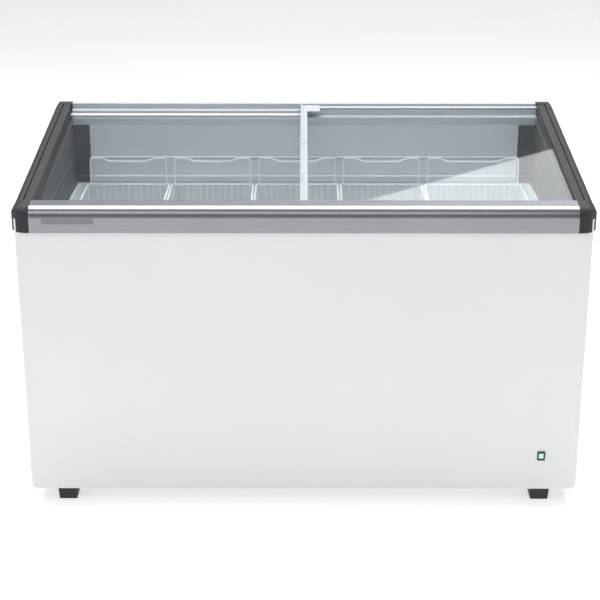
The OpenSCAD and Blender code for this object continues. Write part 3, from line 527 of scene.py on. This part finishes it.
def ring_points(centre, radius, count, across=(1, 0, 0), up=(0, 0, 1)):
    """Points on a circle about centre, in the plane of two directions."""
    turns = [2 * math.pi * step / count for step in range(count)]
    return [Vector(centre) + radius * (math.cos(t) * Vector(across) + math.sin(t) * Vector(up)) for t in turns]


print("makers ready")

# %% [markdown]
# ## Fan guard
# A guard of welded rings keeps fingers and loose wires off the blades. Its rings grow evenly from the hub,
# and eight spokes run out across them.

# %% Rings and spokes of the guard
GUARD_WIRE = 0.0012
GUARD_RINGS = 5
GUARD_SPOKES = 8
RING_STEPS = 24
RINGS_OVER_BLADES = 1.08
SPOKES_OVER_BLADES = 1.1
shroud_low, shroud_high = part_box("fan_bracket")
blades_low, blades_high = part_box("fan_blades")
hub = (blades_low + blades_high) / 2
hub.y = shroud_low.y - GUARD_WIRE
blade_reach = (blades_high.z - blades_low.z) / 2
for step in range(1, GUARD_RINGS + 1):
    ring_reach = blade_reach * step / GUARD_RINGS * RINGS_OVER_BLADES
    wire_piece(f"guard_ring_{step}", ring_points(hub, ring_reach, RING_STEPS), GUARD_WIRE, "screw_steel",
               closed=True)
spoke_start = hub + Vector((0, -GUARD_WIRE, 0))
for step, tip in enumerate(ring_points(spoke_start, blade_reach * SPOKES_OVER_BLADES, GUARD_SPOKES)):
    wire_piece(f"guard_spoke_{step}", [spoke_start, (hub + tip) / 2, tip], GUARD_WIRE, "screw_steel")
print("guard over", round(blade_reach, 4))

# %% [markdown]
# ## Compressor and wiring
# The two pressed halves of the compressor's shell meet in a weld bead, and a short copper stub, pinched
# shut, is left over from filling. Two sleeved leads run from its terminals: one to the thermostat and one
# to the cable entry.

# %% Weld bead, stub and leads
shell_low, shell_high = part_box("compressor")
shell_mid = (shell_low + shell_high) / 2
shell_reach = (shell_high.x - shell_low.x) / 2
WELD_HEIGHT = 0.42
weld_at = Vector((shell_mid.x, shell_mid.y, shell_low.z + (shell_high.z - shell_low.z) * WELD_HEIGHT))
wire_piece("compressor_weld", ring_points(weld_at, shell_reach, 48, up=(0, 1, 0)), 0.0016, "black_enamel",
           closed=True)
stub = shell_mid + Vector((-shell_reach * 0.94, 0.0, -0.006))
wire_piece("process_stub", [stub, stub + Vector((-0.012, 0, 0.002)), stub + Vector((-0.016, 0, 0.03))], 0.003,
           "copper")
terminals = (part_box("terminal_cover")[0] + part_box("terminal_cover")[1]) / 2
dial_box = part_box("thermostat_body")
entry_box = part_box("cable_gland")
entry = (entry_box[0] + entry_box[1]) / 2
out_of_cover = Vector((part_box("terminal_cover")[1].x, terminals.y, terminals.z))
into_dial = Vector((dial_box[0].x + 0.004, (dial_box[0].y + dial_box[1].y) / 2, dial_box[0].z))
wire_piece("thermostat_lead", [out_of_cover, out_of_cover + Vector((0.02, 0.01, 0)),
                               into_dial - Vector((0, 0, 0.05)), into_dial], 0.0025, "black_plastic")
wire_piece("entry_lead", [out_of_cover + Vector((-0.006, 0.02, 0)), out_of_cover + Vector((0.012, 0.06, -0.02)),
                          Vector((entry.x, entry.y - 0.06, entry.z)), Vector((entry.x, entry_box[0].y, entry.z))],
           0.003, "black_plastic")
print("leads ready")

# %% [markdown]
# ## Dial marks
# The thermostat turns through most of a circle. Short raised marks stand round it on the side wall, and
# grow longer towards the coldest setting, which needs no lettering.

# %% Marks round the dial
MARKS = 9
SWEEP = math.radians(250)
knob_low, knob_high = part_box("thermostat_knob")
knob_mid = (knob_low + knob_high) / 2
knob_reach = (knob_high.z - knob_low.z) / 2
wall_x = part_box("outer_casing")[1].x
marks = []
for step in range(MARKS):
    turn = -SWEEP / 2 + SWEEP * step / (MARKS - 1)
    length = 0.003 + 0.003 * step / (MARKS - 1)
    reach = knob_reach + 0.004 + length / 2
    centre = (wall_x + 0.0002, knob_mid.y - reach * math.sin(turn), knob_mid.z + reach * math.cos(turn))
    marks.append((centre, (0.0008, 0.0012, length), turn))
plates_piece("dial_marks", marks, 0.0002, "black_plastic")
print("marks", len(marks))

# %% [markdown]
# ## The back
# The rear wall is one sheet riveted to the sides. A blank rating plate sits near the cable entry. Rivets
# are low domes, made as flattened spheres, evenly spaced down both edges.

# %% Rivets, seam and blank plate
RIVETS = 6
RIVET_RADIUS = 0.004
RIVET_FLATNESS = 0.35
RIVET_LOW = 0.1
RIVET_HIGH = 0.62
SEAM_MIDDLE = 0.36
SEAM_LENGTH = 0.6
SEAM_BESIDE_RIVETS = 0.012
PLATE_BESIDE_ENTRY = 0.12
PLATE_HEIGHT = 0.2
casing_low, casing_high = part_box("outer_casing")
rear_y = casing_high.y
seam_in = 0.05
rivets = bmesh.new()
for side in (-1, 1):
    for step in range(RIVETS):
        height = RIVET_LOW + (RIVET_HIGH - RIVET_LOW) * step / (RIVETS - 1)
        flat = Matrix.Diagonal((1.0, RIVET_FLATNESS, 1.0, 1.0))
        place = Matrix.Translation((side * (casing_high.x - seam_in), rear_y, height)) @ flat
        bmesh.ops.create_uvsphere(rivets, u_segments=20, v_segments=12, radius=RIVET_RADIUS, matrix=place)
for face in rivets.faces:
    face.smooth = True
mesh_piece("rear_rivets", rivets, "screw_steel")
seam_x = casing_high.x - seam_in + SEAM_BESIDE_RIVETS
plates_piece("rear_seams", [((side * seam_x, rear_y + 0.0002, SEAM_MIDDLE), (0.002, 0.001, SEAM_LENGTH), 0.0)
                            for side in (-1, 1)], 0.0003, "body_paint")
plate_at = (entry.x - PLATE_BESIDE_ENTRY, rear_y + 0.0003, PLATE_HEIGHT)
plates_piece("blank_plate", [(plate_at, (0.09, 0.001, 0.055), 0.0)], 0.0003, "screw_steel")
print("rear pieces ready")

# %% [markdown]
# ## Studio
# A white sweep of floor, a broad soft light overhead, a narrower one behind that draws bright edges on the
# metal profiles, a fill from the customer side, and a tall card behind that the lids mirror. The card's
# slanting edge lays the diagonal gleam across the right-hand lid. The surroundings light the customer's
# side more than the back, so that the glass has something dark to mirror. To the camera itself they are
# plain white.

# %% Floor and surroundings
FLOOR_SIZE = 26.0
floor_mesh = bpy.data.meshes.new("studio_floor")
half = FLOOR_SIZE / 2
floor_mesh.from_pydata([(-half, -half, 0), (half, -half, 0), (half, half, 0), (-half, half, 0)], [],
                       [(0, 1, 2, 3)])
floor = bpy.data.objects.new("studio_floor", floor_mesh)
bpy.context.collection.objects.link(floor)
floor_finish = solid_finish("studio_floor", shade(250), shade(252), rough=(0.7, 0.8), relief="none", cloud=1.0)
floor_skin = floor_finish.node_tree.nodes["Principled BSDF"]
floor_skin.inputs["Emission Color"].default_value = (1.0, 1.0, 1.0, 1.0)
floor_skin.inputs["Emission Strength"].default_value = 0.58
floor_mesh.materials.append(floor_finish)

WORLD_FRONT = 0.33
WORLD_REAR = 0.18
world = bpy.data.worlds.new("studio")
bpy.context.scene.world = world
world.use_nodes = True
sky = world.node_tree
room = sky.nodes["Background"]
room.inputs["Color"].default_value = (0.95, 0.97, 1.0, 1.0)
way = put(sky, "ShaderNodeSeparateXYZ")
join(sky, put(sky, "ShaderNodeTexCoord").outputs["Generated"], way.inputs[0])
fall = put(sky, "ShaderNodeMapRange", interpolation_type="SMOOTHSTEP",
           sockets={"From Min": -0.25, "From Max": 0.3, "To Min": WORLD_FRONT, "To Max": WORLD_REAR})
join(sky, way.outputs["Y"], fall.inputs["Value"])
seen = put(sky, "ShaderNodeLightPath")
strength = put(sky, "ShaderNodeMath", operation="MAXIMUM")
join(sky, fall.outputs["Result"], strength.inputs[0])
join(sky, seen.outputs["Is Camera Ray"], strength.inputs[1])
join(sky, strength.outputs[0], room.inputs["Strength"])
bpy.context.scene.view_settings.view_transform = "Standard"
print("floor and surroundings ready")


# %% Lamps
def soft_light(name, place, aim, width, height, power, roll=0.0):
    data = bpy.data.lights.new(name, "AREA")
    data.shape = "RECTANGLE"
    data.size, data.size_y = width, height
    data.energy = power
    lamp = bpy.data.objects.new(name, data)
    bpy.context.collection.objects.link(lamp)
    lamp.location = place
    turn = (Vector(aim) - Vector(place)).to_track_quat("-Z", "Y")
    lamp.rotation_euler = (turn.to_matrix().to_4x4() @ Matrix.Rotation(roll, 4, "Z")).to_euler()
    return lamp


soft_light("overhead", (0.0, 0.35, 3.2), (0.0, 0.05, 0.7), 4.2, 1.4, 98.0)
soft_light("edge_light", (0.0, 1.7, 3.3), (0.0, 0.0, 0.7), 4.2, 0.9, 78.0)
soft_light("customer_side", (-0.7, -2.8, 3.2), (0.0, -0.35, 0.5), 4.0, 1.5, 25.0)

CARD_BACK = 3.2
CARD_TOP = 3.6
CARD_LEFT = (-1.17, 3.26)
CARD_RIGHT = (3.0, 1.9)
card_mesh = bpy.data.meshes.new("gleam_card")
card_mesh.from_pydata([(CARD_LEFT[0], CARD_BACK, CARD_LEFT[1]), (CARD_RIGHT[0], CARD_BACK, CARD_RIGHT[1]),
                       (CARD_RIGHT[0], CARD_BACK, CARD_TOP), (CARD_LEFT[0], CARD_BACK, CARD_TOP)], [],
                      [(0, 1, 2, 3)])
card = bpy.data.objects.new("gleam_card", card_mesh)
bpy.context.collection.objects.link(card)
card_finish = solid_finish("gleam_card", shade(245), shade(250), rough=(0.8, 0.9), relief="none", cloud=0.6)
card_skin = card_finish.node_tree.nodes["Principled BSDF"]
card_skin.inputs["Emission Color"].default_value = (1.0, 1.0, 1.0, 1.0)
card_skin.inputs["Emission Strength"].default_value = 0.8
card_mesh.materials.append(card_finish)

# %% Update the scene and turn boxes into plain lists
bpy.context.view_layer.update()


def plain(box):
    return [[float(v) for v in corner] for corner in box]
